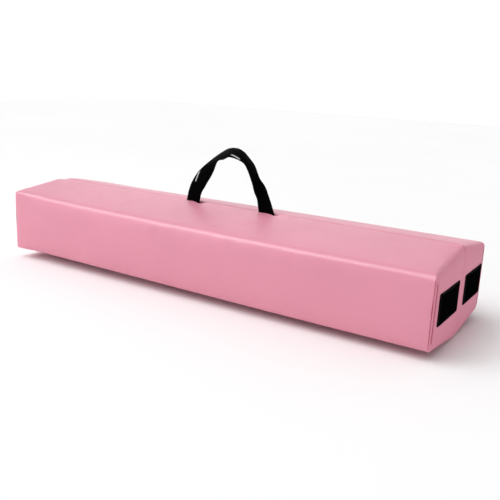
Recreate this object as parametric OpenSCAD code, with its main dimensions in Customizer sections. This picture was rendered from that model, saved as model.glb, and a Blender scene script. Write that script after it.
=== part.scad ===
// Folding floor balance beam, folded base to base and standing with its carry handle up.
// Two foam halves in sewn vinyl covers meet at a fabric hinge at the left end (-X).
// X runs along the beam, -Y is the front half's walking face, Z is up, and the origin is under
// the middle of the folded beam, at its lowest line. All lengths are in millimetres.

/* [Beam] */
// Length of one half, from end face to end face
half_len = 790; // [600:1:1200]
// Width of the flat walking face
top_w = 102; // [90:1:130]
// Width of the base, before its edges are rounded
base_w = 136; // [120:1:180]
// Height of the beam, from the base to the walking face
beam_h = 117.5; // [100:0.5:150]
// Rounding along the walking face's two edges
top_r = 9; // [5:0.5:15]
// Rounding along the base's two edges
base_r = 4; // [3:0.5:7]

/* [Cover and foam] */
// Thickness of the vinyl cover
cover_t = 1.2; // [0.8:0.1:1.2]
// Width of the cover that rolls round each edge before its seam
lip_w = 10; // [8:0.5:12]
// Height of the stitched seam ridge along the walking face's end
seam_h = 0.8; // [0.4:0.1:1]
// Thickness of the firm foam layer under the walking face
pad_t = 15; // [8:1:25]

/* [Fold] */
// Gap between the two bases when the beam is folded
fold_gap = 4; // [4:0.5:8]
// Length of each leaf of the fabric hinge
leaf_len = 35; // [20:1:60]

/* [Hook and loop patches] */
// Size of each patch across the end face
patch_w = 86; // [60:1:88]
// Height of each patch
patch_z = 45; // [30:1:60]
// Thickness of each patch
patch_t = 2; // [1.5:0.1:3]
// How far each patch sits below the middle of the end face
patch_drop = 1; // [0:1:10]
// How far each patch sits towards the base from the middle of the end face
patch_shift = 3; // [0:0.5:6]

/* [Zip] */
// Length of the zip in each base
zip_len = 690; // [400:10:700]
// How far the zip sits below the middle of the base
zip_drop = 30; // [20:1:34]

/* [Handle] */
// Width of the handle webbing
strap_w = 28; // [20:1:38]
// Thickness of the handle webbing
strap_t = 2.2; // [1.5:0.1:2.2]
// Distance between the centres of the handle's feet
foot_span = 150; // [130:1:200]
// Height of the webbing's centre line at the top of the arch, above its feet
arch_h = 86; // [60:1:110]
// Lean of the webbing at the top of the arch, above the horizontal
arch_tilt = 27; // [0:1:60]

/* [Hidden] */

vinyl = "pink";
seam_pink = "palevioletred";
webbing = "black";

fit = 0.1;                // clearance between pieces that only touch
arc_steps = 8;            // chords in each rounded corner
fold_clear = 0.4;         // clearance between the hinge axis and the end seams
fold_line_r = 0.9;        // radius of the fold line's stitched bead

// Lengthways places: the folded beam's box is centred on x = 0
left_over = seam_h + fold_clear + fold_line_r;
fold_x = (left_over - half_len - patch_t) / 2;
free_x = fold_x + half_len;
mid_x = (fold_x + free_x) / 2;
hinge_x = fold_x - seam_h - fold_clear;

// Heights: the rounding lifts the lowest line off the base's sharp corner, so z = 0 is that line
base_y = fold_gap / 2;
top_y = base_y + beam_h;
side_slope = (base_w - top_w) / 2 / beam_h;
side_sec = sqrt(1 + side_slope * side_slope);
corner_lift = base_r * (side_slope + side_sec - 1);
mid_z = base_w / 2 - corner_lift;
ridge_z = 2 * mid_z;

// Outline of one half's section, as [y, z] points, moved inwards by inset
function half_width(y) = base_w / 2 - (y - base_y) * side_slope;
function unit(v) = v / norm(v);
function corner_arc(before, corner, after, r) =
    let (a = unit(before - corner),
         b = unit(after - corner),
         half_angle = acos(a * b) / 2,
         centre = corner + unit(a + b) * r / sin(half_angle),
         from = corner + a * r / tan(half_angle) - centre,
         to = corner + b * r / tan(half_angle) - centre,
         start = atan2(from.y, from.x),
         sweep = (atan2(to.y, to.x) - start + 540) % 360 - 180)
    [for (i = [0 : arc_steps]) centre + r * [cos(start + sweep * i / arc_steps),
                                             sin(start + sweep * i / arc_steps)]];
function outline(inset) =
    let (y0 = base_y + inset,
         y1 = top_y - inset,
         w0 = half_width(y0) - inset * side_sec,
         w1 = half_width(y1) - inset * side_sec,
         corners = [[y0, mid_z - w0], [y1, mid_z - w1], [y1, mid_z + w1], [y0, mid_z + w0]],
         radii = [for (r = [base_r, top_r, top_r, base_r]) max(r - inset, 1)])
    [for (i = [0 : 3]) each corner_arc(corners[(i + 3) % 4], corners[i],
                                       corners[(i + 1) % 4], radii[i])];

// Extrudes a section drawn in [y, z] from x0 to x1
module along_x(x0, x1) {
    translate([x0, 0, 0]) rotate([90, 0, 90]) linear_extrude(x1 - x0) children();
}
module slab(x0, x1, inset) {
    along_x(x0, x1) polygon(outline(inset));
}
// A block between two corners
module block(low, high) {
    translate(low) cube(high - low);
}

// ---- One half, drawn as the rear half; the front half is its mirror image ----

window_z = base_w / 2 - lip_w - 2;            // half height of the cover's opening in the base

module cover() {
    difference() {
        slab(fold_x, free_x, 0);
        slab(fold_x + cover_t, free_x - cover_t, cover_t);
        slab(fold_x - 1, free_x + 1, lip_w);
        block([fold_x + lip_w, base_y - 1, mid_z - window_z],
              [free_x - lip_w, base_y + 2 * cover_t, mid_z + window_z]);
    }
}

zip_z = mid_z - zip_drop;
zip_x0 = mid_x - zip_len / 2;
zip_x1 = mid_x + zip_len / 2;
slot_z = 8;                // half height of the slot in the base panel
slot_over = 10;            // how far the slot runs past each end of the zip

module base_panel() {
    difference() {
        block([fold_x + lip_w + fit, base_y, mid_z - window_z + fit],
              [free_x - lip_w - fit, base_y + cover_t, mid_z + window_z - fit]);
        block([zip_x0 - slot_over, base_y - 1, zip_z - slot_z],
              [zip_x1 + slot_over, base_y + 2 * cover_t, zip_z + slot_z]);
    }
}

module free_end_panel() {
    slab(free_x - cover_t, free_x, lip_w + fit);
}
module fold_end_panel() {
    slab(fold_x, fold_x + cover_t, lip_w + fit);
}

seam_half_w = 1.5;         // half width of the stitched seam ridge
module end_seam(x0) {
    half_z = half_width(top_y - lip_w) - lip_w;
    block([x0, top_y - lip_w - seam_half_w, mid_z - half_z],
          [x0 + seam_h, top_y - lip_w + seam_half_w, mid_z + half_z]);
}

groove_z = 17;             // half height of the foam's groove behind the zip
groove_d = 5;              // depth of that groove from the base
core_in = cover_t + fit;   // the foam's clearance inside the cover's outer face

module foam_core() {
    difference() {
        slab(fold_x + core_in, free_x - core_in, core_in);
        block([fold_x - 1, top_y - core_in - pad_t, -1], [free_x + 1, top_y + 1, ridge_z + 1]);
        block([zip_x0 - slot_over - 4, base_y - 1, zip_z - groove_z],
              [zip_x1 + slot_over + 4, base_y + groove_d, zip_z + groove_z]);
    }
}
module top_pad() {
    difference() {
        slab(fold_x + core_in, free_x - core_in, core_in);
        block([fold_x - 1, base_y - 1, -1],
              [free_x + 1, top_y - core_in - pad_t + fit, ridge_z + 1]);
    }
}

module end_patch() {
    mid_y = (base_y + top_y) / 2 - patch_shift;
    block([free_x, mid_y - patch_w / 2, mid_z - patch_drop - patch_z / 2],
          [free_x + patch_t, mid_y + patch_w / 2, mid_z - patch_drop + patch_z / 2]);
}

// ---- Zip: depths are measured inwards from the base ----

tape_t = 0.8;
tape_deep = 2.5;           // depth of the tape's outer face under the coil
tape_seam = cover_t + fit; // depth of the tape's outer face where it is sewn to the panel
row_gap = 0.3;             // half the gap between the two rows of teeth
coil_w = 2.5;              // width of one row of teeth
coil_t = 1.25;             // thickness of the coil

module zip_tape() {
    strip = [[tape_deep, row_gap], [tape_deep, 6], [tape_seam, 9], [tape_seam, 16],
             [tape_seam + tape_t, 16], [tape_seam + tape_t, 9.4],
             [tape_deep + tape_t, 6.4], [tape_deep + tape_t, row_gap]];
    for (s = [-1, 1])
        along_x(zip_x0 - 6, zip_x1 + 6)
            polygon([for (p = strip) [base_y + p.x, zip_z + s * p.y]]);
}
module zip_coil() {
    for (s = [0, 1])
        translate([0, 0, zip_z]) mirror([0, 0, s])
            block([zip_x0, base_y + tape_deep - coil_t, row_gap],
                  [zip_x1, base_y + tape_deep, row_gap + coil_w]);
}
stop_len = 4;
module zip_stops() {
    for (x = [zip_x0 - stop_len, zip_x1])
        for (s = [0, 1])
            translate([0, 0, zip_z]) mirror([0, 0, s])
                block([x, base_y + tape_deep - coil_t - fit, row_gap],
                      [x + stop_len, base_y + tape_deep, row_gap + coil_w + 0.3]);
}

slider_len = 13;
slider_x = zip_x1 - slider_len - 1;   // the slider rests closed, against the end stops
slider_out = -0.3;                    // depth of the slider's outer face, just proud of the base
slider_floor = tape_deep + tape_t + fit;
pin_r = 0.3;                          // radius of the pull's pin
pin_x = slider_x - 1.8;
pin_depth = 0.55;                     // depth of that pin's axis
pull_w = 4.4;
pull_x = slider_x - 23;               // centre of the pull's round end

module zip_slider() {
    plate = [[0, 3.6], [2.5, 5.6], [9, 5.6], [slider_len, 4.2],
             [slider_len, -4.2], [9, -5.6], [2.5, -5.6], [0, -3.6]];
    for (depth = [[slider_out, tape_deep - coil_t - fit], [slider_floor, slider_floor + 1]])
        translate([slider_x, base_y + depth[1], zip_z]) rotate([90, 0, 0])
            linear_extrude(depth[1] - depth[0]) polygon(plate);
    // the post between the two rows of teeth
    block([slider_x + 4, base_y + tape_deep - coil_t - fit - 0.2, zip_z - row_gap + fit],
          [slider_x + 9, base_y + slider_floor + 0.2, zip_z + row_gap - fit]);
    // ears and the pin that the pull hangs on
    for (z = [-pull_w / 2 - 1.2, pull_w / 2 + 0.2])
        block([pin_x - 0.8, base_y, zip_z + z], [slider_x + 1, base_y + 1.1, zip_z + z + 1]);
    translate([pin_x, base_y + pin_depth, zip_z - pull_w / 2 - 1])
        cylinder(r = pin_r, h = pull_w + 2, $fn = 32);
}
module zip_pull() {
    difference() {
        union() {
            block([pull_x, base_y, zip_z - pull_w / 2],
                  [pin_x + 1, base_y + 2 * pin_depth, zip_z + pull_w / 2]);
            translate([pull_x, base_y + 2 * pin_depth, zip_z]) rotate([90, 0, 0])
                cylinder(r = 4, h = 2 * pin_depth, $fn = 48);
        }
        translate([pin_x, base_y + pin_depth, zip_z - pull_w])
            cylinder(r = pin_r + 0.03, h = 2 * pull_w, $fn = 32);
        translate([pull_x, base_y + 2, zip_z]) rotate([90, 0, 0])
            cylinder(r = 1.8, h = 3, $fn = 32);
    }
}

// ---- Fabric hinge across the fold ----

leaf_t = 0.9;
leaf_z = base_w / 2 - 14;  // half height of the hinge strip
leaf_back = 2.5;           // where each leaf stops short of the hinge axis

module hinge_leaf() {
    block([hinge_x + leaf_back, base_y - leaf_t, mid_z - leaf_z],
          [hinge_x + leaf_back + leaf_len, base_y, mid_z + leaf_z]);
}
module hinge_fold_line() {
    translate([hinge_x, 0, mid_z - leaf_z]) {
        cylinder(r = fold_line_r, h = 2 * leaf_z, $fn = 48);
        linear_extrude(2 * leaf_z)
            polygon([[0, -fold_line_r], [leaf_back, -base_y],
                     [leaf_back, -base_y + leaf_t], [0.3, 0]]);
    }
}

// ---- Handle: one length of webbing that twists from each foot to the top of the arch ----

pivot_z = ridge_z + 2.5;   // the webbing bends here, just above the folded edges
arch_power = 1.36;         // 1 is an ellipse; more makes the arch more pointed
arch_rings = 48;
foot_len = 22;             // length of webbing sewn to the front base

function signed_power(v, n) = sign(v) * pow(abs(v), n);
function arch_point(a) = [-foot_span / 2 * signed_power(cos(a), arch_power), 0,
                          arch_h * pow(abs(sin(a)), arch_power)];
function smooth(t) = let (c = min(max(t, 0), 1)) c * c * (3 - 2 * c);
// Lean of the webbing's width from the horizontal, upright at the feet
function lean(a) = let (up = sin(a)) arch_tilt + (90 - arch_tilt) * (1 - smooth((up - 0.3) / 0.55));
function arch_ring(i) =
    let (a = 180 * i / arch_rings,
         p = arch_point(a),
         ahead = arch_point(min(a + 1, 180)),
         behind = arch_point(max(a - 1, 0)),
         t = i == 0 ? [0, 0, 1] : i == arch_rings ? [0, 0, -1] : unit(ahead - behind),
         inward = [t.z, 0, -t.x],
         w = inward * sin(lean(a)) + [0, -cos(lean(a)), 0],
         n = cross(t, w),
         hw = w * strap_w / 2,
         ht = n * strap_t / 2)
    [p - hw - ht, p + hw - ht, p + hw + ht, p - hw + ht];

module handle_strap() {
    points = [for (i = [0 : arch_rings]) each arch_ring(i)];
    last = 4 * arch_rings;
    sides = [for (i = [0 : arch_rings - 1]) for (k = [0 : 3])
             let (a = 4 * i + k, b = 4 * i + (k + 1) % 4)
             each [[a, b, b + 4], [a, b + 4, a + 4]]];
    caps = [[2, 1, 0], [3, 2, 0],
            [last, last + 1, last + 2], [last, last + 2, last + 3]];
    translate([mid_x, 0, pivot_z]) polyhedron(points, concat(sides, caps));
}
module handle_sewn_ends() {
    for (s = [-1, 1])
        translate([mid_x + s * foot_span / 2, 0, 0])
            block([-strap_w / 2, -base_y, pivot_z - 2 - foot_len],
                  [strap_w / 2, strap_t / 2, pivot_z - strap_t / 2 - 0.4]);
}

// ---- Nodes ----

module front() {
    mirror([0, 1, 0]) children();
}
color(vinyl) front() cover();  // front_cover
color("dimgray") front() base_panel();  // front_base_panel
color(vinyl) front() free_end_panel();  // front_free_end_panel
color(vinyl) front() fold_end_panel();  // front_fold_end_panel
color(seam_pink) front() end_seam(free_x);  // front_free_end_seam
color(seam_pink) front() end_seam(fold_x - seam_h);  // front_fold_end_seam
color("ivory") front() foam_core();  // front_foam_core
color("lightgray") front() top_pad();  // front_top_pad
color(webbing) front() end_patch();  // front_end_patch
color(webbing) front() zip_tape();  // front_zip_tape
color(webbing) front() zip_coil();  // front_zip_coil
color("silver") front() zip_stops();  // front_zip_stops
color("silver") front() zip_slider();  // front_zip_slider
color("silver") front() zip_pull();  // front_zip_pull
color(seam_pink) front() hinge_leaf();  // front_hinge_leaf
color(seam_pink) hinge_fold_line();
color(vinyl) cover();  // rear_cover
color("dimgray") base_panel();  // rear_base_panel
color(vinyl) free_end_panel();  // rear_free_end_panel
color(vinyl) fold_end_panel();  // rear_fold_end_panel
color(seam_pink) end_seam(free_x);  // rear_free_end_seam
color(seam_pink) end_seam(fold_x - seam_h);  // rear_fold_end_seam
color("ivory") foam_core();  // rear_foam_core
color("lightgray") top_pad();  // rear_top_pad
color(webbing) end_patch();  // rear_end_patch
color(webbing) zip_tape();  // rear_zip_tape
color(webbing) zip_coil();  // rear_zip_coil
color("silver") zip_stops();  // rear_zip_stops
color("silver") zip_slider();  // rear_zip_slider
color("silver") zip_pull();  // rear_zip_pull
color(seam_pink) hinge_leaf();  // rear_hinge_leaf
color(webbing) handle_strap();
color(webbing) handle_sewn_ends();
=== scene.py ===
"""The looks of a folding balance beam, in metres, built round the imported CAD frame.

Each half is described by three numbers: x along the beam, u, the depth from its base plane, and
v, the height above the middle of its section. side is -1 for the front half and +1 for the rear.
An end face is named by its own x, X0 at the fold and X1 at the free end.
"""
import math
import bmesh
import bpy
import numpy as np
from mathutils import Matrix, Vector, noise


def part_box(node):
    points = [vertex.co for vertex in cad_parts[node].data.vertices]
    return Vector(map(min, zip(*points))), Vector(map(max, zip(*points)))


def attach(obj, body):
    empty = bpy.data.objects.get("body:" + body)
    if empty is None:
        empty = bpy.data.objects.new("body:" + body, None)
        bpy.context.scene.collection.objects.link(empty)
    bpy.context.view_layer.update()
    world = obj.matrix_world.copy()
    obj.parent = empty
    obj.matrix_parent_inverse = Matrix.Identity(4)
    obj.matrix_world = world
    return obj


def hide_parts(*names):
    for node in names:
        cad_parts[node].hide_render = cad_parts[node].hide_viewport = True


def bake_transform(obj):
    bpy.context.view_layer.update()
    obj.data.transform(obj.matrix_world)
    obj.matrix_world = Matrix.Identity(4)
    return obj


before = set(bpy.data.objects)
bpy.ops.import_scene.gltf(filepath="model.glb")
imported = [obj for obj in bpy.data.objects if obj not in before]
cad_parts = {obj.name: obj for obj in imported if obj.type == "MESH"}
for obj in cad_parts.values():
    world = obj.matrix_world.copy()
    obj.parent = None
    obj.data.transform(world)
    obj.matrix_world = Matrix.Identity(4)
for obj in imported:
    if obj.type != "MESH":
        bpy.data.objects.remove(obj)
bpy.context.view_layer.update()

MM = 0.001
cover_low, cover_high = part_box("rear_cover")
X0, X1 = cover_low.x, cover_high.x            # fold end and free end
BASE = cover_low.y                            # the CAD's base plane, half of the fold gap
HEIGHT = cover_high.y - cover_low.y
MID_Z = (cover_low.z + cover_high.z) / 2
RIDGE = cover_high.z
TOP_HALF = 51 * MM                            # half of the walking face's width
BASE_HALF = 68 * MM                           # half of the base's width
SLOPE = 17 / 117.5                            # how fast the sides close in from the base
LENGTH = X1 - X0
SIDES = {"front": -1, "rear": 1}


def smooth(t):
    t = np.clip(t, 0, 1)
    return t * t * (3 - 2 * t)


# ---- meshes ----

def shade_smooth(ob):
    ob.data.polygons.foreach_set("use_smooth", [True] * len(ob.data.polygons))


def edit_mesh(ob, change):
    """Applies change, a function of a bmesh, to the object's mesh."""
    bm = bmesh.new()
    bm.from_mesh(ob.data)
    change(bm)
    bm.to_mesh(ob.data)
    bm.free()
    shade_smooth(ob)


def make_mesh(name, points, faces, material, body=None, level=0):
    """A smooth-shaded object; level is how often it is subdivided."""
    mesh = bpy.data.meshes.new(name)
    mesh.from_pydata([tuple(map(float, p)) for p in points], [], faces)
    mesh.validate()
    mesh.update()
    ob = bpy.data.objects.new(name, mesh)
    bpy.context.scene.collection.objects.link(ob)
    shade_smooth(ob)
    mesh.materials.append(material)
    if level:
        mod = ob.modifiers.new("subdivision", "SUBSURF")
        mod.levels = mod.render_levels = level
    if body:
        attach(ob, body)
    return ob


def grid_faces(rows, columns, closed=False, flip=False):
    """The faces of a grid of points; closed joins its last column to its first."""
    faces = []
    for i in range(rows - 1):
        for j in range(columns if closed else columns - 1):
            a, b = i * columns + j, i * columns + (j + 1) % columns
            faces.append((a + columns, b + columns, b, a) if flip else
                         (a, b, b + columns, a + columns))
    return faces


def lattice(name, sheets, material, **options):
    """A mesh of one or more sheets: (grid of shape (rows, columns, 3), closed, flip)."""
    points, faces = [], []
    for grid, closed, flip in sheets:
        rows, columns = grid.shape[:2]
        start = len(points)
        points += list(grid.reshape(-1, 3))
        faces += [tuple(start + k for k in f)
                  for f in grid_faces(rows, columns, closed, flip)]
    return make_mesh(name, points, faces, material, **options)


def to_row(side, x, u, v):
    """Half coordinates to the row frame."""
    return np.stack([x, side * (BASE + u), MID_Z + v], axis=-1)


def fillet(before, corner, after, radius, steps):
    """The points of a round corner between two straight sides."""
    a, b = before - corner, after - corner
    a, b = a / np.linalg.norm(a), b / np.linalg.norm(b)
    half_angle = math.acos(float(np.clip(a @ b, -1, 1))) / 2
    centre = corner + (a + b) / np.linalg.norm(a + b) * radius / math.sin(half_angle)
    p, q = (corner + w * radius / math.tan(half_angle) - centre for w in (a, b))
    start = math.atan2(p[1], p[0])
    sweep = (math.atan2(q[1], q[0]) - start + 3 * math.pi) % (2 * math.pi) - math.pi
    angles = start + sweep * np.linspace(0, 1, steps)
    return centre + radius * np.stack([np.cos(angles), np.sin(angles)], axis=1)


CORNER_STEPS, SIDE_STEPS, TOP_STEPS, BASE_STEPS = 9, 17, 17, 21
TOP_ROUND = 12.5 * MM                         # radius of the walking face's long edges
TOP_ROUND_FOLD = 4 * MM                       # and of their ends at the fold
BASE_ROUND = 4 * MM                           # radius of the base's long edges
LEAST_ROUND = 1.5 * MM


def half_width(u):
    return BASE_HALF - SLOPE * u


def trapezium(low, high, shrink, radii, steps):
    """The four round corners of a half's section from depth low to high, from +v at low on."""
    w0, w1 = half_width(low) - shrink, half_width(high) - shrink
    corners = [np.array(c) for c in ((low, w0), (high, w1), (high, -w1), (low, -w0))]
    return [fillet(corners[i - 1], corners[i], corners[(i + 1) % 4], radii[i], steps)
            for i in range(4)]


def section(inset, top_round=TOP_ROUND):
    """The outline of a half as (u, v) points: base, top side, walking face, bottom side.
    It starts in the middle of the base and runs towards +v."""
    radii = [max(r - inset, LEAST_ROUND) for r in (BASE_ROUND, top_round, top_round, BASE_ROUND)]
    arcs = trapezium(inset, HEIGHT - inset, inset * math.hypot(1, SLOPE), radii, CORNER_STEPS)
    counts = [SIDE_STEPS, TOP_STEPS, SIDE_STEPS, BASE_STEPS]
    points = []
    for i in range(4):
        points += list(arcs[i])
        a, b = arcs[i][-1], arcs[(i + 1) % 4][0]
        points += [a + (b - a) * t for t in np.linspace(0, 1, counts[i] + 2)[1:-1]]
    half = BASE_STEPS // 2 + 1
    return np.array(points[-half:] + points[:-half])


def along(x):
    """0 at the ends and 1 over the middle, for the way a filled cover bows."""
    t = np.clip(np.abs(2 * (x - (X0 + X1) / 2) / LENGTH), 0, 1)
    return 1 - t ** 3


FEET = [-75 * MM, 74 * MM]                    # where the handle's ends are sewn in
CROWN = 1.5 * MM                              # rise of the walking face between its edges
EDGE_DROP = 0.5 * MM                          # how far those edges sink half-way along
SIDE_SWELL = 1.1 * MM                         # swell of the slanted sides
PUFF = {-1: 3.5 * MM, 1: 1.7 * MM}            # fuller foam under the top side by the fold
PRESS = 1.6 * MM                              # how far the base edges press together
# beside a foot, how far the base edge parts, and how far it dips just past the foot
PART = {-1: 2.3 * MM, 1: 0.9 * MM}
DIP = {-1: 3.4 * MM, 1: 0.8 * MM}
PUCKER = 0.35 * MM


def hang_low(s):
    """How far the walking face's bottom edge hangs, s along it from fold to free end."""
    return 3.6 * MM * smooth(1.2 * s)


def hang_high(side, s):
    """The same for its top edge, which the two halves carry differently."""
    if side > 0:
        return 5.0 * MM * (1 - s)
    return (-2.5 + 6.6 * (1 - (1 - s) ** 3) - 2.0 * s ** 6) * MM


def bump_at(x, centre, flat, fall):
    """1 within flat of the centre, falling to 0 over the next fall."""
    return 1 - smooth((np.abs(x - centre) - flat) / fall)


def shape_half(side, x, u, v):
    """Moves points of a half's plain section to where a filled, sewn cover puts them."""
    x, u, v = (np.array(a, float) for a in (x, u, v))
    bow = along(x)
    rise = np.clip(u / HEIGHT, 0, 1)
    # the walking face crowns, and its edges sink a little half-way along
    crown = np.clip(1 - (v / TOP_HALF) ** 2, 0, 1)
    u_new = u + rise ** 4 * bow * (CROWN * crown - EDGE_DROP)
    # slanted sides swell a little between their two edges
    swell = np.clip(np.sin(math.pi * rise), 0, 1) ** 0.8
    v_new = v + np.sign(v) * np.clip(np.abs(v) / (30 * MM), 0, 1) * bow * SIDE_SWELL * swell
    # standing on its base edges, each half leans outwards and its walking face hangs lower
    s = (x - X0) / LENGTH
    low, high = hang_low(s), hang_high(side, s)
    hang = low + (high - low) * smooth((v / TOP_HALF + 1) / 2)
    v_new = v_new - rise ** 1.2 * hang
    # the foam stands fuller under the top side at the fold end
    puff = smooth(u / (18 * MM)) * (1 - 0.3 * rise) * (1 - 0.5 * rise ** 8)
    puff = puff * (1 - smooth((x - X0 - 8 * MM) / (110 * MM))) * smooth(v / (30 * MM))
    v_new = v_new + puff * PUFF[side]
    # base edges press together where the halves meet, and part round the handle's ends
    at_edge = smooth((np.abs(v) - 54 * MM) / (8 * MM)) * smooth((x - X0 - 5 * MM) / (30 * MM))
    at_end = smooth((x - X1 + 16 * MM) / (10 * MM))
    close = np.maximum(at_edge, at_end) * (1 - smooth((u - 2 * MM) / (20 * MM)))
    u_new = u_new - close * PRESS
    return x, u_new, v_new


def part_at_feet(side, x, u, v):
    """The base edge parts beside each sewn end of the handle and dips just past it."""
    edge = np.exp(-((v - 65 * MM) / (9 * MM)) ** 2) * (1 - smooth((u - 1 * MM) / (9 * MM)))
    slope = smooth((v - 50 * MM) / (6 * MM))
    u_new, v_new = u.copy(), v.copy()
    for centre, open_by in zip(FEET, (1.0, 0.6)):
        held = bump_at(x, centre + 3 * MM, 13 * MM, 8 * MM)
        past = bump_at(x, centre + 19 * MM, 2 * MM, 8 * MM) * open_by
        u_new += edge * (held * PART[side] + past * 3.2 * MM)
        v_new -= edge * past * DIP[side]
        # shallow puckers run down the slanted side from the stitching
        wave = np.sin(2 * math.pi * (x - centre + 0.35 * u) / (13 * MM))
        near = np.exp(-((x - centre) / (17 * MM)) ** 2 - ((u - 13 * MM) / (10 * MM)) ** 2)
        v_new += wave * near * slope * PUCKER * open_by
    return u_new, v_new


# ---- materials ----

def tinted(colour, factor):
    return tuple(c * factor for c in colour)


class Material:
    """A principled material whose textures are placed in the row frame, in metres."""

    def __init__(self, name):
        self.data = bpy.data.materials.new(name)
        self.data.use_nodes = True
        self.tree = self.data.node_tree
        self.tree.nodes.clear()
        self.shader = self.node("BsdfPrincipled")
        self.link(self.shader.outputs[0], self.node("OutputMaterial").inputs[0])
        self.where = self.position((1, 1, 1))

    def node(self, kind, **inputs):
        n = self.tree.nodes.new(f"ShaderNode{kind}")
        for name, value in inputs.items():
            n.inputs[name].default_value = value
        return n

    def link(self, value, socket):
        self.tree.links.new(value, socket)

    def position(self, stretch):
        """Where the point lies, stretched along each axis."""
        mapping = self.node("Mapping", Scale=stretch)
        self.link(self.node("TexCoord").outputs["Object"], mapping.inputs[0])
        return mapping.outputs[0]

    def texture(self, kind, stretch, **inputs):
        n = self.node(f"Tex{kind}", **inputs)
        self.link(self.position(stretch) if stretch else self.where, n.inputs["Vector"])
        return n

    def noise(self, scale, detail=2.0, rough=0.5, stretch=None):
        n = self.texture("Noise", stretch, Scale=scale, Detail=detail, Roughness=rough)
        return n.outputs[0]

    def voronoi(self, scale, randomness=1.0):
        n = self.texture("Voronoi", None, Scale=scale, Randomness=randomness)
        return n.outputs["Distance"]

    def wave(self, scale, direction, distortion=0.0, stretch=None):
        n = self.texture("Wave", stretch, Scale=scale, Distortion=distortion)
        n.bands_direction = direction
        return n.outputs["Fac"]

    def ramp(self, value, stops):
        """Turns a value into a colour; stops are (place, colour), a colour being linear RGB."""
        n = self.node("ValToRGB")
        elements = n.color_ramp.elements
        while len(elements) < len(stops):
            elements.new(0.5)
        for e, (place, colour) in zip(elements, stops):
            e.position = place
            e.color = (*colour, 1)
        self.link(value, n.inputs[0])
        return n.outputs[0]

    def grey(self, value, low, high):
        """Turns a value into a grey between low and high, most often for a roughness."""
        return self.ramp(value, [(0.3, (low,) * 3), (0.7, (high,) * 3)])

    def bump(self, height, depth, strength, below=None):
        """The shading of a relief depth metres deep, over the one below it."""
        n = self.node("Bump", Strength=strength, Distance=depth)
        self.link(height, n.inputs["Height"])
        if below is not None:
            self.link(below, n.inputs["Normal"])
        return n.outputs[0]

    def finish(self, colour, rough, normal=None, **constants):
        """Links colour, roughness and normal to the shader, and sets its other inputs."""
        for value, name in ((colour, "Base Color"), (rough, "Roughness"), (normal, "Normal")):
            if value is not None:
                self.link(value, self.shader.inputs[name])
        for name, value in constants.items():
            self.shader.inputs[name.replace("_", " ")].default_value = value
        return self.data


def vinyl(name, colour, roughness, gloss, grain=1.0):
    """Smooth vinyl: a very fine pebble grain, slight cloudiness and a soft gloss."""
    m = Material(name)
    shades = [(0.3, tinted(colour, 0.965)), (0.5, colour), (0.7, tinted(colour, 1.03))]
    tint = m.ramp(m.noise(9, 3), shades)
    rough = m.grey(m.noise(45, 4), roughness - 0.03, roughness + 0.05)
    slow = m.bump(m.noise(16, 2), 0.9 * MM, 0.35)
    pebble = m.bump(m.voronoi(1150), 0.09 * MM, 0.30 * grain, slow)
    return m.finish(tint, rough, pebble, Specular_IOR_Level=gloss)


def thread(name, colour):
    m = Material(name)
    twist = m.wave(900, "DIAGONAL", 1.0, stretch=(1, 1, 0.4))
    tint = m.ramp(twist, [(0.2, tinted(colour, 0.8)), (0.8, colour)])
    return m.finish(tint, m.grey(m.noise(300), 0.5, 0.7), m.bump(twist, 0.1 * MM, 0.6))


def woven(name, dark, light, pitch, roughness, depth=0.16 * MM, specular=0.3, glint_attribute=None):
    """Webbing or woven backing: two crossing sets of yarns. The last argument names a mesh
    attribute that marks where a painted highlight, glints of light on the strap's creases,
    brightens the yarns."""
    m = Material(name)
    # a wave texture at scale s repeats every pi / (10 s)
    scale = math.pi / (10 * pitch)
    cross = m.node("Math")
    cross.operation = "MULTIPLY"
    m.link(m.wave(scale, "X"), cross.inputs[0])
    m.link(m.wave(scale, "Z"), cross.inputs[1])
    tint = m.ramp(cross.outputs[0], [(0.0, dark), (1.0, light)])
    # painted highlight: where the attribute is set the yarns are mixed towards a light grey glint
    if glint_attribute:
        marks = m.node("Attribute")
        marks.attribute_name = glint_attribute
        mix = m.node("MixRGB")
        mix.inputs[2].default_value = (0.75, 0.76, 0.78, 1)
        m.link(marks.outputs["Fac"], mix.inputs[0])
        m.link(tint, mix.inputs[1])
        tint = mix.outputs[0]
    rough = m.grey(m.noise(160, 3), roughness - 0.06, roughness + 0.08)
    return m.finish(tint, rough, m.bump(cross.outputs[0], depth, 0.8),
                    Specular_IOR_Level=specular)


def pile(name, dark, light):
    """The looped or hooked face of a hook-and-loop patch."""
    m = Material(name)
    loops = m.voronoi(1500)
    fuzz = m.noise(2600, 3, 0.7)
    tint = m.ramp(fuzz, [(0.3, dark), (0.75, light)])
    normal = m.bump(loops, 0.5 * MM, 0.7, m.bump(fuzz, 0.4 * MM, 0.5))
    return m.finish(tint, m.grey(loops, 0.85, 0.97), normal, Specular_IOR_Level=0.0)


def foam(name, colour, scale):
    """Closed-cell foam; scale is the number of cells to a metre."""
    m = Material(name)
    cells = m.voronoi(scale)
    tint = m.ramp(cells, [(0.0, tinted(colour, 0.86)), (0.5, colour)])
    return m.finish(tint, m.grey(m.noise(90), 0.8, 0.92), m.bump(cells, 0.6 * MM, 0.7))


def dotted_base(name):
    """Non-slip base cloth: a dark woven ground with small raised rubber dots."""
    m = Material(name)
    dots = m.voronoi(230, randomness=0.0)
    ground = m.noise(700, 3, 0.7)
    raised = m.ramp(dots, [(0.30, (1, 1, 1)), (0.40, (0, 0, 0))])
    tint = m.ramp(dots, [(0.32, (0.030, 0.030, 0.033)), (0.40, (0.012, 0.012, 0.013))])
    normal = m.bump(raised, 0.5 * MM, 0.7, m.bump(ground, 0.3 * MM, 0.6))
    return m.finish(tint, m.grey(ground, 0.62, 0.85), normal)


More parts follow.
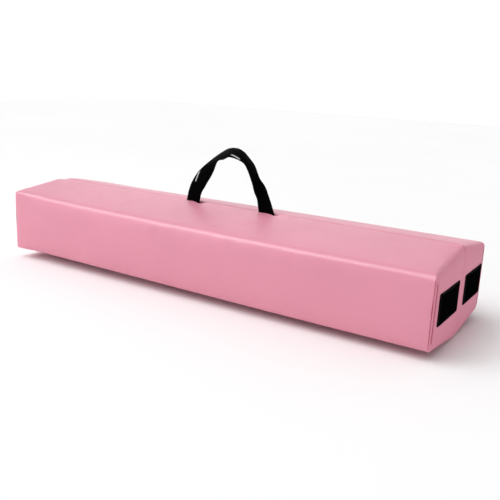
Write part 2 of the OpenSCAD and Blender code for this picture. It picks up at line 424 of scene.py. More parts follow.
def metal(name, colour, rough):
    m = Material(name)
    brushed = m.noise(1, 3, stretch=(60, 900, 900))
    tint = m.ramp(m.noise(120, 3), [(0.3, tinted(colour, 0.85)), (0.7, colour)])
    return m.finish(tint, m.grey(brushed, rough - 0.06, rough + 0.1),
                    m.bump(brushed, 0.02 * MM, 0.4), Metallic=1.0)


def nylon(name, colour):
    m = Material(name)
    speck = m.noise(800, 3)
    tint = m.ramp(speck, [(0.3, tinted(colour, 0.7)), (0.7, colour)])
    return m.finish(tint, m.grey(speck, 0.34, 0.5), m.bump(speck, 0.05 * MM, 0.5))


PINK = (0.700, 0.262, 0.350)
DEEP_PINK = (0.560, 0.160, 0.230)
SEAM_PINK = (0.430, 0.070, 0.115)
cover_vinyl = vinyl("cover_vinyl", PINK, roughness=0.41, gloss=0.42)
end_vinyl = vinyl("end_vinyl", tinted(PINK, 0.98), roughness=0.60, gloss=0.12, grain=1.2)
hinge_vinyl = vinyl("hinge_vinyl", DEEP_PINK, roughness=0.5, gloss=0.5)
seam_vinyl = vinyl("seam_vinyl", SEAM_PINK, roughness=0.6, gloss=0.1)
pink_thread = thread("pink_thread", (0.72, 0.25, 0.34))
black_thread = thread("black_thread", (0.02, 0.02, 0.022))
# the strap's colour carries painted highlights, glints of light, from a mesh attribute set on the
# strap
strap_web = woven("strap_webbing", (0.0006, 0.0006, 0.0006), (0.002, 0.002, 0.002),
                  pitch=1.7 * MM, roughness=0.42, depth=0.05 * MM, specular=0.01, glint_attribute="painted_glint")
patch_pile = pile("patch_pile", (0.0006, 0.0006, 0.0006), (0.0025, 0.0025, 0.0025))
base_cloth = dotted_base("base_cloth")
tape_cloth = woven("zip_tape_cloth", (0.006, 0.006, 0.006), (0.022, 0.022, 0.024),
                   pitch=0.9 * MM, roughness=0.7)
teeth_nylon = nylon("zip_teeth", (0.03, 0.03, 0.032))
zinc = metal("zip_zinc", (0.62, 0.63, 0.65), 0.3)
soft_foam = foam("foam_core", (0.80, 0.78, 0.70), 420)
firm_foam = foam("firm_foam", (0.60, 0.63, 0.66), 700)

# CAD nodes that keep their own shape
for side_name in SIDES:
    for node, material in (("zip_tape", tape_cloth), ("zip_stops", zinc), ("zip_slider", zinc),
                           ("zip_pull", zinc)):
        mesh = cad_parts[f"{side_name}_{node}"].data
        mesh.materials.clear()
        mesh.materials.append(material)

# ---- covers ----

LIP = 10 * MM
SEAM_INSET = 7 * MM        # from the walking face to the seam across its end
EDGE_PLAIN = 6.0 * MM      # roll of the top side onto the free end's face
EDGE_FOLD = 3.5 * MM       # and onto the fold end's face
EDGE_SEWN = 2.4 * MM       # tighter roll along the other edges of an end face
EDGE_BASE = 1.2 * MM       # and where the halves meet at the free end
END_BOW = {X0: 0.5 * MM, X1: 2.4 * MM}        # how far each end face stands proud
WINDOW_HALF = 55 * MM      # half of the cover's opening under the base panel
WINDOW_DEPTH = 7.5 * MM    # how far the cover steps inwards there
END_RINGS = 8              # rows of a cover that belong to an end face
HELD_RINGS = 6             # rows at each end of a cover that the cloth leaves alone
CLOTH_CAP = 0.7 * MM       # the furthest that the cloth may move a point
CLOTH_FRAMES = 20


def end_rings(roll):
    """(distance from the end face, inset) pairs from the sewn groove out to the full section,
    where roll is the radius of the edge at each point of the section."""
    out = []
    plain = LIP - 1.6 * MM
    seam = LIP + (SEAM_INSET - LIP) * on_walking_face
    for depth, further in ((2.6, 0.3), (1.2, 0.1), (0.35, -0.5), (0.0, -1.2)):
        deep = 0.15 + (depth - 0.15) * on_walking_face if depth else 0 * roll
        out.append((deep * MM, seam + further * MM))
    for a in np.linspace(0, math.pi / 2, 9):
        groove = 0.5 * MM * on_walking_face * math.exp(-((a - math.pi / 4) / 0.15) ** 2)
        out.append((roll * (1 - math.cos(a)) + groove,
                    np.minimum(roll, plain) * (1 - math.sin(a)) + groove))
    return out


base_outline = section(0)
COUNT = len(base_outline)
LEVELS = np.linspace(0, LIP + 1 * MM, 12)
# the section at rising insets; the corners are tighter at the fold end
OUTLINES = {X0: np.array([section(t, TOP_ROUND_FOLD) for t in LEVELS]),
            X1: np.array([section(t) for t in LEVELS])}


def outline_at(face, inset):
    """An end's section moved inwards by an amount of its own at each of its points."""
    inset = np.clip(inset, 0, LEVELS[-1])
    k = np.clip((inset / LEVELS[1]).astype(int), 0, len(LEVELS) - 2)
    t = ((inset - LEVELS[k]) / LEVELS[1])[:, None]
    j = np.arange(COUNT)
    return OUTLINES[face][k, j] * (1 - t) + OUTLINES[face][k + 1, j] * t


# how the roll onto the end face changes round the section
on_walking_face = smooth((base_outline[:, 0] - HEIGHT + 12 * MM) / (8 * MM))
on_base = ((1 - smooth((base_outline[:, 0] - 0.3 * MM) / (2 * MM)))
           * (1 - smooth((np.abs(base_outline[:, 1]) - 54 * MM) / (10 * MM))))
on_top = smooth(base_outline[:, 1] / (40 * MM)) * (1 - on_walking_face) * (1 - on_base)
FREE_ROLL = EDGE_SEWN + (EDGE_PLAIN - EDGE_SEWN) * on_top + (EDGE_BASE - EDGE_SEWN) * on_base
FOLD_ROLL = EDGE_SEWN + (EDGE_FOLD - EDGE_SEWN) * on_top


def outwards(face):
    return 1 if face == X1 else -1


def end_bow(face, u, v):
    """How far a point of an end face stands proud: least along its edges."""
    a = np.clip((u - HEIGHT / 2) / (HEIGHT / 2), -1, 1)
    if face == X1:
        a = np.where(a < 0, 0.5 * a, a)       # the free ends stay level where the halves meet
    b = np.clip(np.abs(v) / half_width(u), 0, 1)
    return END_BOW[face] * (1 - a ** 4) * (1 - b ** 6)


def cover_grid(side):
    """Rings of the cover from the groove at the fold end to the groove at the free end."""
    rings = []
    for d, inset in end_rings(FOLD_ROLL):
        rings.append((X0 + d, outline_at(X0, inset)))
    first, last = X0 + FOLD_ROLL, X1 - FREE_ROLL
    spread = np.linspace(0, 1, 118)[1:-1]
    spread = spread - 0.12 * np.sin(2 * math.pi * spread) / (2 * math.pi)   # closer at the ends
    for t in spread:
        x = first + (last - first) * t
        soft = smooth((x - X0 - 4 * MM) / (45 * MM))[:, None]
        rings.append((x, OUTLINES[X0][0] * (1 - soft) + base_outline * soft))
    for d, inset in reversed(end_rings(FREE_ROLL)):
        rings.append((X1 - d, outline_at(X1, inset)))
    x = np.array([r[0] for r in rings])
    uv = np.array([r[1] for r in rings])
    u, v = uv[..., 0], uv[..., 1]
    near = np.minimum(x - X0, X1 - x)
    # the filled end faces stand proud of their edges
    proud = np.where(x > 0, end_bow(X1, u, v), -end_bow(X0, u, v))
    x = x + proud * (1 - smooth((near - 1 * MM) / (6 * MM)))
    x, u, v = shape_half(side, x, u, v)
    # the window under the base panel steps inwards and stays out of sight
    window = (base_outline[:, 0] < 0.5 * MM) & (np.abs(base_outline[:, 1]) < WINDOW_HALF)
    inside = window[None, :] & (near > LIP + 1 * MM)
    u = np.where(inside, WINDOW_DEPTH, u)
    parted_u, parted_v = part_at_feet(side, x, u, v)
    return to_row(side, x, np.where(inside, u, parted_u), np.where(inside, v, parted_v))


def relax(ob, pinned):
    """Swells a closed cover with Blender's cloth, then limits how far any point has moved."""
    before = np.array([v.co for v in ob.data.vertices])
    for mod in ob.modifiers:
        mod.show_viewport = False                 # the cloth runs on the plain mesh
    group = ob.vertex_groups.new(name="pinned")
    for i in np.flatnonzero(pinned > 0):
        group.add([int(i)], float(pinned[i]), "REPLACE")
    mod = ob.modifiers.new("cloth", "CLOTH")
    s = mod.settings
    s.vertex_group_mass = "pinned"
    s.pin_stiffness = 1.0
    s.quality = 6
    s.mass = 0.35
    s.tension_stiffness = s.compression_stiffness = 40
    s.shear_stiffness = 12
    s.bending_stiffness = 2.5
    s.use_pressure = True
    s.uniform_pressure_force = 6.0
    s.shrink_min = -0.004
    s.effector_weights.gravity = 0
    mod.collision_settings.use_collision = False
    mod.point_cache.frame_start, mod.point_cache.frame_end = 1, CLOTH_FRAMES
    scene = bpy.context.scene
    scene.frame_start, scene.frame_end = 1, CLOTH_FRAMES
    for f in range(1, CLOTH_FRAMES + 1):
        scene.frame_set(f)
    evaluated = ob.evaluated_get(bpy.context.evaluated_depsgraph_get())
    after = np.array([v.co for v in evaluated.data.vertices])
    ob.modifiers.remove(mod)
    for mod in ob.modifiers:
        mod.show_viewport = True
    ob.vertex_groups.remove(group)
    scene.frame_set(1)
    move = after - before
    far = np.linalg.norm(move, axis=1, keepdims=True)
    move *= CLOTH_CAP * np.tanh(far / CLOTH_CAP) / np.maximum(far, 1e-9)
    ob.data.vertices.foreach_set("co", (before + move).ravel())
    ob.data.update()


def pinning(rows):
    """How firmly the cloth holds each point of a cover: fully at its sewn ends and on its base,
    and nearly so along the sewn edges of the walking face, which keep their line."""
    depth, height = base_outline[:, 0], np.abs(base_outline[:, 1])
    ring = np.arange(rows)
    at_ends = np.where((ring < HELD_RINGS) | (ring >= rows - HELD_RINGS), 1.0, 0.0)
    at_base = ((height < 60 * MM) & (depth < 6 * MM)).astype(float)
    at_edges = 0.8 * smooth((height - 44 * MM) / (6 * MM))
    at_edges = at_edges * smooth((depth - HEIGHT + 14 * MM) / (8 * MM))
    return np.maximum(np.repeat(at_ends, COUNT), np.tile(np.maximum(at_base, at_edges), rows))


def cover(name, side):
    """The cover with its lips, whose end faces are a duller vinyl than the rest."""
    grid = cover_grid(side)
    ob = lattice(f"{name}_cover_shell", [(grid, True, side > 0)], cover_vinyl, level=1)
    ob.data.materials.append(end_vinyl)
    row = np.repeat(np.arange(grid.shape[0] - 1), COUNT)
    on_end = np.minimum(row, row[::-1]) < END_RINGS
    ob.data.polygons.foreach_set("material_index", on_end.astype(int).tolist())
    relax(ob, pinning(grid.shape[0]))
    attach(ob, f"{name}_half")
    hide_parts(f"{name}_cover")


for name, side in SIDES.items():
    cover(name, side)

# ---- end panels, seams, patches ----

ENDS = {"free": X1, "fold": X0}
LINE_STEPS = 60              # points along a seam across an end face


def end_panel(side, face):
    """A panel sewn into the cover's lips: it dips at the seam along the walking face's end, and
    elsewhere lies flush over the lips."""
    # (inset, depth) in mm where the panel is sewn and where it is plain
    steps = [((6.9, 3.2), (8.75, 0.3)), ((7.15, 1.1), (8.7, -0.04)), ((8.0, 0.25), (9.6, -0.05))]
    grids, dips = [], []
    for sewn, plain in steps:
        inset, dip = (p + (s - p) * on_walking_face for s, p in zip(sewn, plain))
        uv = outline_at(face, inset * MM)
        grids.append(to_row(side, *shape_half(side, np.full(COUNT, face), uv[:, 0], uv[:, 1])))
        dips.append(dip)
    rim, rim_dip = grids[-1], dips[-1]
    centre = rim.mean(axis=0)
    for t in (0.97, 0.93, 0.86, 0.75, 0.62, 0.48, 0.33, 0.18, 0.0):
        grids.append(centre + (rim - centre) * t)
        dips.append(rim_dip * t ** 12)
    grids, dips = np.array(grids), np.array(dips)
    u, v = np.abs(grids[..., 1]) - BASE, grids[..., 2] - MID_Z
    grids[..., 0] = face + outwards(face) * (end_bow(face, u, v) - dips * MM)
    return grids


def distances(line):
    """How far along a line each of its points lies."""
    return np.r_[0, np.cumsum(np.linalg.norm(np.diff(line, axis=0), axis=1))]


def stitches(name, line, normal, spacing, length, radius, material, body, closed=True):
    """Short threads along a line, each dipping into the cloth at both ends."""
    line = np.vstack([line, line[:1]]) if closed else line
    step = distances(line)
    count = int(step[-1] / spacing)
    points, faces = [], []
    normal = np.asarray(normal, float)
    sides, rows = 6, 5
    for k in range(count):
        base = step[-1] * k / count
        start = len(points)
        for r in range(rows):
            t = r / (rows - 1)
            s = (base + length * (t - 0.5)) % step[-1]
            p = np.array([np.interp(s, step, line[:, i]) for i in range(3)])
            q = np.array([np.interp((s + 0.2 * MM) % step[-1], step, line[:, i])
                          for i in range(3)])
            d = q - p
            d /= max(np.linalg.norm(d), 1e-9)
            across = np.cross(normal, d)
            swell = radius * (0.55 + 0.45 * math.sin(math.pi * t))
            middle = p + normal * radius * (1.4 * math.sin(math.pi * t) - 0.9)
            for c in range(sides):
                a = 2 * math.pi * c / sides
                points.append(middle + swell * (math.cos(a) * across + math.sin(a) * normal))
        faces += [tuple(start + i for i in f)
                  for f in grid_faces(rows, sides, closed=True)]
        faces += [tuple(start + i for i in range(sides))[::-1],
                  tuple(start + (rows - 1) * sides + i for i in range(sides))]
    return make_mesh(name, points, faces, material, body)


def cord_bead(name, line, radius, material, body):
    """A round ridge along an open line, its ends tapering into the cover."""
    tangent = np.gradient(line, axis=0)
    tangent /= np.linalg.norm(tangent, axis=1, keepdims=True)
    one = np.cross(tangent, (0.0, 1.0, 0.0))
    one /= np.linalg.norm(one, axis=1, keepdims=True)
    two = np.cross(tangent, one)
    taper = smooth(np.minimum(np.arange(len(line)), np.arange(len(line))[::-1]) / 4)[:, None]
    rings = [line + radius * (0.1 + 0.9 * taper) * (math.cos(a) * one + math.sin(a) * two)
             for a in np.linspace(0, 2 * math.pi, 9)[:-1]]
    return lattice(name, [(np.array(rings).transpose(1, 0, 2), True, False)], material, body=body)


def end_line(side, face, half, inset, proud):
    """A line across an end face, inset from the walking face; proud(u, v) is how far out."""
    v = np.linspace(-half, half, LINE_STEPS)
    u = np.full(LINE_STEPS, HEIGHT - inset)
    return to_row(side, *shape_half(side, face + outwards(face) * proud(u, v), u, v))


def end_pieces(name, side, end, face):
    """A panel, the sewn line along the end of the walking face, its stitches, and the cover's
    folded edge beside them."""
    body = f"{name}_half"
    panel = lattice(f"{name}_{end}_end_pad",
                    [(end_panel(side, face), True, (side > 0) != (face == X1))],
                    end_vinyl, body=body, level=1)
    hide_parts(f"{name}_{end}_end_panel")
    line = end_line(side, face, 42 * MM, SEAM_INSET,
                    lambda u, v: end_bow(face, u, v) - 0.45 * MM)
    seam = cord_bead(f"{name}_{end}_end_piping", line, 0.8 * MM, seam_vinyl, body)
    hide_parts(f"{name}_{end}_end_seam")
    line = end_line(side, face, 47 * MM, 0.95 * MM, lambda u, v: np.full_like(u, -0.95 * MM))
    edge = cord_bead(f"{name}_{end}_edge_piping", line, 0.6 * MM, seam_vinyl, body)
    line = end_line(side, face, 41 * MM, SEAM_INSET + 3 * MM, lambda u, v: end_bow(face, u, v))
    sewn = stitches(f"{name}_{end}_end_stitches", line, (outwards(face), 0, 0), 3.6 * MM,
                    2.5 * MM, 0.25 * MM, pink_thread, body, closed=False)


PATCH_ROUND = 2.2 * MM       # corner radius of a hook-and-loop patch
# (depth from the patch's back, how far in from its edge, how ragged) in mm
PATCH_EDGE = [(0.0, 0.3, 0.2), (0.5, 0.0, 0.5), (1.1, 0.1, 0.5), (1.35, 0.6, 0.3),
              (1.3, 1.6, 0.1), (1.45, 2.4, 0.0), (1.95, 3.0, 0.25), (2.0, 5.0, 0.1)]


def patch_outline(half_y, half_z):
    """A rectangle with round corners round the origin, as 260 evenly spaced (y, z) points, and
    how far round it each of them is."""
    outline = []
    for qy, qz, a0 in ((1, 1, 0), (-1, 1, 90), (-1, -1, 180), (1, -1, 270)):
        for a in np.radians(np.linspace(a0, a0 + 90, 5)):
            outline.append((qy * (half_y - PATCH_ROUND) + PATCH_ROUND * math.cos(a),
                            qz * (half_z - PATCH_ROUND) + PATCH_ROUND * math.sin(a)))
    loop = np.array(outline + outline[:1])
    step = distances(loop)
    at = np.linspace(0, step[-1], 260, endpoint=False)
    return np.stack([np.interp(at, step, loop[:, k]) for k in (0, 1)], axis=1), at


def patch(name, side):
    """A hook-and-loop patch: pile on a backing whose cut edge is slightly ragged."""
    low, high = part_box(f"{name}_end_patch")
    centre = np.array([0, (low.y + high.y) / 2, (low.z + high.z) / 2])
    ring, at = patch_outline((high.y - low.y) / 2, (high.z - low.z) / 2)
    outward = ring / np.linalg.norm(ring, axis=1, keepdims=True)
    rag = np.array([noise.noise(Vector((s * 900, side * 3.7, 0.5))) for s in at])[:, None]

    def on_face(depth, yz):
        """Points at a depth in front of the bowed end face."""
        rows = np.column_stack([np.full(len(yz), X1 + depth), yz]) + centre
        rows[:, 0] += end_bow(X1, np.abs(rows[:, 1]) - BASE, rows[:, 2] - MID_Z)
        return rows

    grids = [on_face(depth * 0.95 * MM, ring - outward * (inwards - ragged * rag) * MM)
             for depth, inwards, ragged in PATCH_EDGE]
    depth, inwards, ragged = PATCH_EDGE[-1]
    rim = ring - outward * (inwards - ragged * rag) * MM
    grids += [on_face(depth * 0.95 * MM, rim * t)
              for t in (0.92, 0.85, 0.72, 0.6, 0.45, 0.3, 0.15, 0.0)]
    body = f"{name}_half"
    ob = lattice(f"{name}_hook_loop_patch", [(np.array(grids), True, False)], patch_pile,
                 body=body)
    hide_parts(f"{name}_end_patch")
    sewn = stitches(f"{name}_patch_stitches", on_face(1.35 * MM, ring - outward * 2.1 * MM),
                    (1, 0, 0), 3.0 * MM, 2.2 * MM, 0.25 * MM, black_thread, body)


FOAM_ROUND = 4 * MM
# each foam block's node, its depth from the base plane, its material and its slot
FOAMS = [("foam_core", 8 * MM, HEIGHT - 22 * MM, soft_foam, "foam"),
         ("top_pad", HEIGHT - 21 * MM, HEIGHT - 6 * MM, firm_foam, "firm_foam")]


def foam_block(name, side, part, low, high, material, slot_name):
    """A block inside the cover, which bows as the cover does and stays clear of it."""
    steps = [(X0 + x, 4.5) for x in np.linspace(9 * MM, LENGTH - 9 * MM, 30)]
    steps = [(X0 + 6 * MM, 7), (X0 + 6.8 * MM, 5.5), *steps, (X1 - 6.8 * MM, 5.5),
             (X1 - 6 * MM, 7)]
    rows = []
    for x, shrink in steps:
        uv = np.vstack(trapezium(low, high, shrink * MM, [FOAM_ROUND] * 4, 5))
        rows.append(to_row(side, *shape_half(side, np.full(len(uv), x), uv[:, 0], uv[:, 1])))
    caps = [np.array([r.mean(axis=0)] * len(r)) for r in (rows[0], rows[-1])]
    grid = np.array([caps[0], *rows, caps[1]])
    ob = lattice(f"{name}_{part}_block", [(grid, True, side > 0)], material,
                 body=f"{name}_half")
    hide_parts(f"{name}_{part}")


for name, side in SIDES.items():
    for end, face in ENDS.items():
        end_pieces(name, side, end, face)
    patch(name, side)
    for foam_part in FOAMS:
        foam_block(name, side, *foam_part)

# ---- base panels and zips ----

tape_low, tape_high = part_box("rear_zip_tape")
ZIP_V = (tape_low.z + tape_high.z) / 2 - MID_Z
ZIP_X0, ZIP_X1 = tape_low.x + 6 * MM, tape_high.x - 6 * MM
PANEL_X0, PANEL_X1 = X0 + LIP + 0.1 * MM, X1 - LIP - 0.1 * MM
PANEL_HALF = 55.9 * MM                        # half of the base panel's width
SLOT_X0, SLOT_X1 = ZIP_X0 - 10 * MM, ZIP_X1 + 10 * MM
SLOT_HALF = 8 * MM                            # half of the slot that the zip shows through
TURN = 0.5 * MM                               # width of the turned edge of the cloth
TEETH_PITCH = 1.9 * MM


def cloth_strip(name, side, x0, x1, v0, v1):
    """A flat strip of base cloth with turned edges, as a closed thin slab."""
    xs = np.r_[x0, x0 + TURN, np.linspace(x0 + 2 * MM, x1 - 2 * MM, 60), x1 - TURN, x1]
    vs = np.r_[v0, v0 + TURN, np.linspace(v0 + 2 * MM, v1 - 2 * MM, 12), v1 - TURN, v1]
    gx, gv = np.meshgrid(xs, vs, indexing="ij")
    edge = np.minimum.reduce([gx - x0, x1 - gx, gv - v0, v1 - gv])
    top = to_row(side, gx, 0.55 * MM - 0.5 * MM * smooth(edge / (1.2 * MM)), gv)
    under = to_row(side, gx, np.full_like(gx, 1.15 * MM), gv)
    ob = lattice(name, [(top, False, side < 0), (under, False, side > 0)], base_cloth)
    edit_mesh(ob, lambda bm: bmesh.ops.bridge_loops(
        bm, edges=[e for e in bm.edges if e.is_boundary]))
    return ob


def rectangle(x0, x1, v0, v1):
    return np.array([(x0, v0), (x1, v0), (x1, v1), (x0, v1)])


def base_panel(name, side):
    """Four strips of base cloth round the zip's slot, joined, with two lines of stitches."""
    strips = [(PANEL_X0, PANEL_X1, ZIP_V + SLOT_HALF, PANEL_HALF),
              (PANEL_X0, PANEL_X1, -PANEL_HALF, ZIP_V - SLOT_HALF),
              (PANEL_X0, SLOT_X0, ZIP_V - SLOT_HALF, ZIP_V + SLOT_HALF),
              (SLOT_X1, PANEL_X1, ZIP_V - SLOT_HALF, ZIP_V + SLOT_HALF)]
    pieces = [cloth_strip(f"{name}_base_cloth_{i}", side, *p) for i, p in enumerate(strips)]
    base = pieces[0]
    with bpy.context.temp_override(active_object=base, selected_editable_objects=pieces):
        bpy.ops.object.join()
    base.name = f"{name}_base_cloth"
    body = f"{name}_half"
    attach(base, body)
    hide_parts(f"{name}_base_panel")
    in_by, out_by = 4 * MM, 3 * MM            # of the lines, from the panel's and slot's edges
    outer = rectangle(PANEL_X0 + in_by, PANEL_X1 - in_by, in_by - PANEL_HALF,
                      PANEL_HALF - in_by)
    inner = rectangle(SLOT_X0 - out_by, SLOT_X1 + out_by, ZIP_V - SLOT_HALF - out_by,
                      ZIP_V + SLOT_HALF + out_by)
    for label, corners in (("outer", outer), ("zip", inner)):
        loop = to_row(side, corners[:, 0], np.full(4, 0.05 * MM), corners[:, 1])
        sewn = stitches(f"{name}_base_{label}_stitches", loop, (0, -side, 0), 4.5 * MM, 3.2 * MM,
                        0.3 * MM, black_thread, body)


def zip_teeth(name, side):
    """Two rows of interlocking nylon links."""
    points, faces = [], []
    u0, u1 = 1.3 * MM, 2.45 * MM
    # each link is a bar of four rings: (distance from the zip's middle, half width) in mm
    link = ((0.35, 0.35), (1.0, 0.62), (2.0, 0.42), (2.75, 0.36))
    for k in range(int((ZIP_X1 - ZIP_X0) / TEETH_PITCH)):
        for row in (-1, 1):
            x = ZIP_X0 + TEETH_PITCH * (k + 0.3 + (0.5 if row > 0 else 0))
            start = len(points)
            for out, half in link:
                for a, b in ((-half, u0), (half, u0), (half, u1), (-half, u1)):
                    points.append(to_row(side, x + a * MM, b + (0.15 * MM if out > 2 else 0),
                                         ZIP_V + row * out * MM))
            faces += [tuple(start + i for i in f) for f in grid_faces(4, 4, closed=True)]
            faces += [tuple(start + i for i in (3, 2, 1, 0)),
                      tuple(start + i for i in (12, 13, 14, 15))]
    teeth = make_mesh(f"{name}_zip_teeth", points, faces, teeth_nylon, f"{name}_half")
    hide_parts(f"{name}_zip_coil")


for name, side in SIDES.items():
    base_panel(name, side)
    zip_teeth(name, side)

# ---- fabric hinge ----

line_low, line_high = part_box("hinge_fold_line")
leaf_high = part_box("rear_hinge_leaf")[1]
HINGE_X = line_low.x + 0.9 * MM               # the fold's axis
HINGE_GAP = 1.1 * MM                          # from the middle plane to the strip
HINGE_THICK = 0.75 * MM


def hinge_path():
    """The (x, y) line of the strip's inner face: along the front base, round the fold's axis
    and back along the rear base."""
    flat = [(leaf_high.x, 1.2 * MM), (leaf_high.x - 1 * MM, HINGE_GAP)]
    flat += [(x, HINGE_GAP) for x in np.linspace(leaf_high.x - 4 * MM, HINGE_X + 1 * MM, 12)]
    bend = [(HINGE_X - HINGE_GAP * math.sin(a), -HINGE_GAP * math.cos(a))
            for a in np.linspace(0, math.pi, 15)]
    return np.array([(x, -y) for x, y in flat] + bend + flat[::-1])


def hinge_strip():
    inner = hinge_path()
    tangent = np.gradient(inner, axis=0)
    tangent /= np.linalg.norm(tangent, axis=1, keepdims=True)
    outer = inner + np.stack([-tangent[:, 1], tangent[:, 0]], axis=1) * HINGE_THICK
    loop = np.vstack([inner, outer[::-1]])
    low, high = line_low.z, line_high.z
    zs = np.r_[low, low + 0.4 * MM, np.linspace(low + 2 * MM, high - 2 * MM, 24),
               high - 0.4 * MM, high]
    grid = np.array([[(x, y, z) for x, y in loop] for z in zs])
    count, last = len(loop), (len(zs) - 1) * len(loop)

    def close_ends(bm):
        bm.verts.ensure_lookup_table()
        for first in (0, last):
            for i in range(len(inner) - 1):
                far = first + count - 1 - i
                corners = (first + i, first + i + 1, far - 1, far)
                bm.faces.new([bm.verts[k] for k in corners])
        bmesh.ops.recalc_face_normals(bm, faces=bm.faces)

    hinge = lattice("fold_hinge_strip", [(grid, True, False)], hinge_vinyl)
    edit_mesh(hinge, close_ends)
    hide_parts("hinge_fold_line", "front_hinge_leaf", "rear_hinge_leaf")
    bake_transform(hinge)


hinge_strip()
for name, side in SIDES.items():
    corners = rectangle(HINGE_X + 7 * MM, leaf_high.x - 4 * MM, line_low.z + 4 * MM,
                        line_high.z - 4 * MM)
    loop = np.insert(corners, 1, side * HINGE_GAP, axis=1)
    sewn = stitches(f"{name}_hinge_stitches", loop, (0, -side, 0), 4.2 * MM, 3.0 * MM, 0.28 * MM,
                    pink_thread, f"{name}_half")

# ---- carry handle ----

# the strap from foot to foot, in mm: its outer edge (x, height above the ridge), its inner edge,
# and how far the twist takes the outer edge to the rear and the inner edge to the front
STRAP = [((-90, -20), (-62, -20), 0), ((-90, -4), (-62, -3), 0), ((-86, 16), (-58, 15.5), 0),
         ((-77.5, 37.5), (-46.5, 32.5), 0.5), ((-61.5, 57.5), (-34, 53.5), 2),
         ((-44, 74.5), (-22, 74), 8.5), ((-23.5, 89.5), (-9, 78.5), 10.5),
         ((-10, 96), (1.5, 83.5), 11), ((5, 97), (13, 83), 11.5), ((16.5, 93), (24, 80.5), 12),
         ((25.5, 86), (34.5, 75.5), 12), ((39.5, 72), (43, 62.5), 12), ((52.5, 50.5), (50, 42), 9),
         ((70, 33.5), (55, 22.5), 3.5), ((82, 13), (57.5, 3), 0.5), ((89, -6), (60.5, -8), 0),
         ((88, -20), (61, -20), 0)]
STRAP_ROWS = 170                              # points along the strap
STRAP_COLUMNS = 33                            # points across each of its faces
STRAP_WIDTHS = 21 * MM, 30 * MM               # least and greatest width that it may show
HALF_THICK = 1.1 * MM
# painted highlights on the strap, glints of light along its creases: (x, height, place across) at
# both ends, +1 being the outer edge
GLINT_LINES = [((-70, 36, 0.50), (-56, 54, 0.84)), ((1, 92, -0.60), (21, 85, -0.88))]
GLINT_HALF = 0.8 * MM


def spline(points, count):
    """A smooth curve through the points, evenly stepped by their index."""
    p = np.array(points, float)
    p = np.vstack([2 * p[0] - p[1], p, 2 * p[-1] - p[-2]])
    out = []
    for s in np.linspace(0, len(points) - 1, count):
        k = min(int(s), len(points) - 2)
        t = s - k
        a, b, c, d = p[k:k + 4]
        out.append(0.5 * ((2 * b) + (c - a) * t + (2 * a - 5 * b + 4 * c - d) * t ** 2
                          + (3 * b - a - 3 * c + d) * t ** 3))
    return np.array(out)


def strap_frame():
    """The strap's middle line and, at each point of it, its width across, as a vector, and the
    way its outside faces."""
    outer_edge = spline([(x, lean, z) for (x, z), _, lean in STRAP], STRAP_ROWS) * MM
    inner_edge = spline([(x, -lean, z) for _, (x, z), lean in STRAP], STRAP_ROWS) * MM
    centre = (outer_edge + inner_edge) / 2 + np.array([0, 0, RIDGE])
    across = outer_edge - inner_edge
    width = np.linalg.norm(across, axis=1, keepdims=True)
    across *= np.clip(width, *STRAP_WIDTHS) / width
    normal = np.cross(np.gradient(centre, axis=0), across)
    normal /= np.linalg.norm(normal, axis=1, keepdims=True)
    return centre, across, normal


def strap_grid(centre, across, normal, places):
    """Rings round the strap, from (place across, +1 outside or -1 inside) pairs."""
    arch = smooth((centre[:, 2] - RIDGE - 40 * MM) / (40 * MM))[:, None]
    columns = []
    for t, face in places:
        edge = math.sqrt(max(0.0, 1 - abs(t) ** 8))
        rib = 1 + 0.18 * math.exp(-((abs(t) - 0.86) / 0.05) ** 2)
        curl = -(t * t - 0.4) * 1.5 * MM * arch      # over the arch the edges turn down
        out = face * HALF_THICK * (0.25 + 0.75 * edge) * rib
        columns.append(centre + across / 2 * t + normal * (out + curl))
    grid = np.array(columns).transpose(1, 0, 2)
    caps = [np.repeat(ring.mean(axis=0)[None], len(places), axis=0) for ring in grid[[0, -1]]]
    return np.concatenate([caps[:1], grid, caps[1:]])


def painted_glints(centre, places):
    """How much painted highlight each point of the strap carries: bright glint lines on its
    outside.
    """
    route = np.stack([centre[:, 0], centre[:, 2] - RIDGE], axis=1)
    painted_glint = np.zeros((len(centre), len(places)))
    for (xa, za, ta), (xb, zb, tb) in GLINT_LINES:
        a, b = np.array([xa, za]) * MM, np.array([xb, zb]) * MM
        along_mark = (route - a) @ (b - a) / ((b - a) @ (b - a))
        place = ta + (tb - ta) * along_mark
        off = (places[None, :, 0] - place[:, None]) * 14 * MM
        ends = smooth(8 * np.minimum(along_mark, 1 - along_mark))[:, None]
        mark = np.exp(-(off / GLINT_HALF) ** 2) * ends * (places[None, :, 1] > 0)
        side_step = np.abs((route - a) @ np.array([a[1] - b[1], b[0] - a[0]]))
        mark *= (side_step < 20 * MM * np.linalg.norm(b - a))[:, None]
        painted_glint = np.maximum(painted_glint, mark)
    return painted_glint


def carry_handle():
    one_face = np.linspace(-1, 1, STRAP_COLUMNS)
    places = np.array([(t, 1) for t in one_face] + [(t, -1) for t in one_face[::-1]])
    centre, across, normal = strap_frame()
    grid = strap_grid(centre, across, normal, places)
    strap = lattice("carry_handle_strap", [(grid, True, False)], strap_web, level=1)
    # painted highlight: bright glint lines kept as a mesh attribute, which the strap's material
    # brightens
    painted_glint = np.zeros(grid.shape[:2])
    painted_glint[1:-1] = painted_glints(centre, places)
    layer = strap.data.attributes.new("painted_glint", "FLOAT", "POINT")
    layer.data.foreach_set("value", painted_glint.ravel())
    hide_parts("handle_strap", "handle_sewn_ends")
    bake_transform(strap)


carry_handle()

# ---- stage, light and camera ----

FLOOR_HALF, FLOOR_CUTS, FLOOR_Z = 6.0, 24, -0.4 * MM


def studio_floor():
    steps = np.linspace(-FLOOR_HALF, FLOOR_HALF, FLOOR_CUTS + 1)
    grid = np.array([[(x, y, FLOOR_Z) for y in steps] for x in steps])
    m = Material("studio_floor")
    tint = m.ramp(m.noise(0.8), [(0.2, (0.90,) * 3), (0.8, (0.93,) * 3)])
    material = m.finish(tint, m.grey(m.noise(2), 0.9, 0.95))
    lattice("studio_floor", [(grid, False, True)], material)


studio_floor()


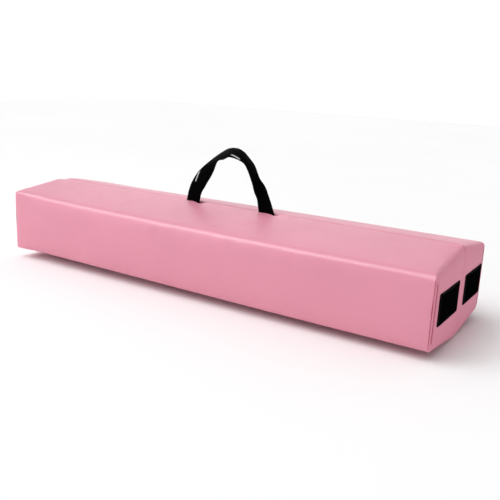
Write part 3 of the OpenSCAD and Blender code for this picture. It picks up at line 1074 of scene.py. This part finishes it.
def eased(tree, value, start, end, first, second):
    """Changes smoothly from first to second as value goes from start to end."""
    n = tree.nodes.new("ShaderNodeMapRange")
    n.interpolation_type = "SMOOTHSTEP"
    for socket, number in (("From Min", start), ("From Max", end), ("To Min", first),
                           ("To Max", second)):
        n.inputs[socket].default_value = number
    tree.links.new(value, n.inputs["Value"])
    return n.outputs[0]


def studio_world():
    """A bright backdrop all round, and above it less light, least of all on the front right."""
    world = bpy.data.worlds.new("studio")
    bpy.context.scene.world = world
    world.use_nodes = True
    tree = world.node_tree
    sky = tree.nodes["Background"]
    sky.inputs[0].default_value = (1.0, 1.0, 1.0, 1)
    direction = tree.nodes.new("ShaderNodeTexCoord")
    turn = tree.nodes.new("ShaderNodeVectorMath")     # how far it points to the front right
    turn.operation = "DOT_PRODUCT"
    turn.inputs[1].default_value = (0.71, -0.70, 0.0)
    split = tree.nodes.new("ShaderNodeSeparateXYZ")
    for node in (turn, split):
        tree.links.new(direction.outputs["Generated"], node.inputs[0])
    strength = tree.nodes.new("ShaderNodeMath")
    strength.operation = "MULTIPLY_ADD"
    dimmer = eased(tree, turn.outputs["Value"], -0.25, 0.6, -0.36, -1.15)
    tree.links.new(dimmer, strength.inputs[0])
    tree.links.new(eased(tree, split.outputs["Z"], 0.06, 0.20, 0.0, 1.0), strength.inputs[1])
    strength.inputs[2].default_value = 1.2            # the backdrop's own strength
    tree.links.new(strength.outputs[0], sky.inputs[1])


studio_world()


def light(name, kind, where, target, power, size, shine_only=False, spread=180):
    """An area light of size metres, or a sun whose size is its angle in degrees."""
    data = bpy.data.lights.new(name, kind)
    data.energy = power
    if kind == "AREA":
        data.shape = "RECTANGLE"
        data.size, data.size_y = size
        data.spread = math.radians(spread)
    else:
        data.angle = math.radians(size)
    ob = bpy.data.objects.new(name, data)
    ob.location = where
    ob.visible_diffuse = not shine_only
    ob.rotation_mode = "QUATERNION"
    ob.rotation_quaternion = (Vector(target) - Vector(where)).to_track_quat("-Z", "Y")
    bpy.context.scene.collection.objects.link(ob)


light("sky_panel", "SUN", (-0.36, -0.40, 0.84), (0, 0, 0), 1.85, 60)
light("front_left", "AREA", (-0.95, -1.2, 0.55), (-0.35, 0, 0.1), 4.0, (0.8, 0.8))
light("end_fill", "AREA", (0.95, -0.13, 0.02), (0.42, -0.05, -0.02), 0.15, (0.4, 0.04), spread=70)
light("edge_shine", "SUN", (-0.51, -0.35, 0.78), (0, 0, 0), 2.3, 30, shine_only=True)
light("top_shine", "SUN", (-0.51, 0.72, 0.47), (0, 0, 0), 0.2, 35, shine_only=True)


def photo_camera():
    """The camera that a fit to the folded beam's edges in the photo gave."""
    data = bpy.data.cameras.new("camera")
    data.sensor_width = 36
    data.lens = 1.36 * data.sensor_width
    data.clip_start, data.clip_end = 0.01, 50
    camera = bpy.data.objects.new("camera", data)
    bpy.context.scene.collection.objects.link(camera)
    forward = Vector((-0.5121, 0.8229, -0.2462)).normalized()
    right = Vector((0.8417, 0.5379, 0.0471))
    right = (right - forward * right.dot(forward)).normalized()
    rotation = Matrix((right, right.cross(forward), -forward)).transposed().to_4x4()
    camera.matrix_world = Matrix.Translation((0.6274, -0.9356, MID_Z + 0.279)) @ rotation
    bpy.context.scene.camera = camera


photo_camera()
bpy.context.scene.view_settings.view_transform = "Standard"
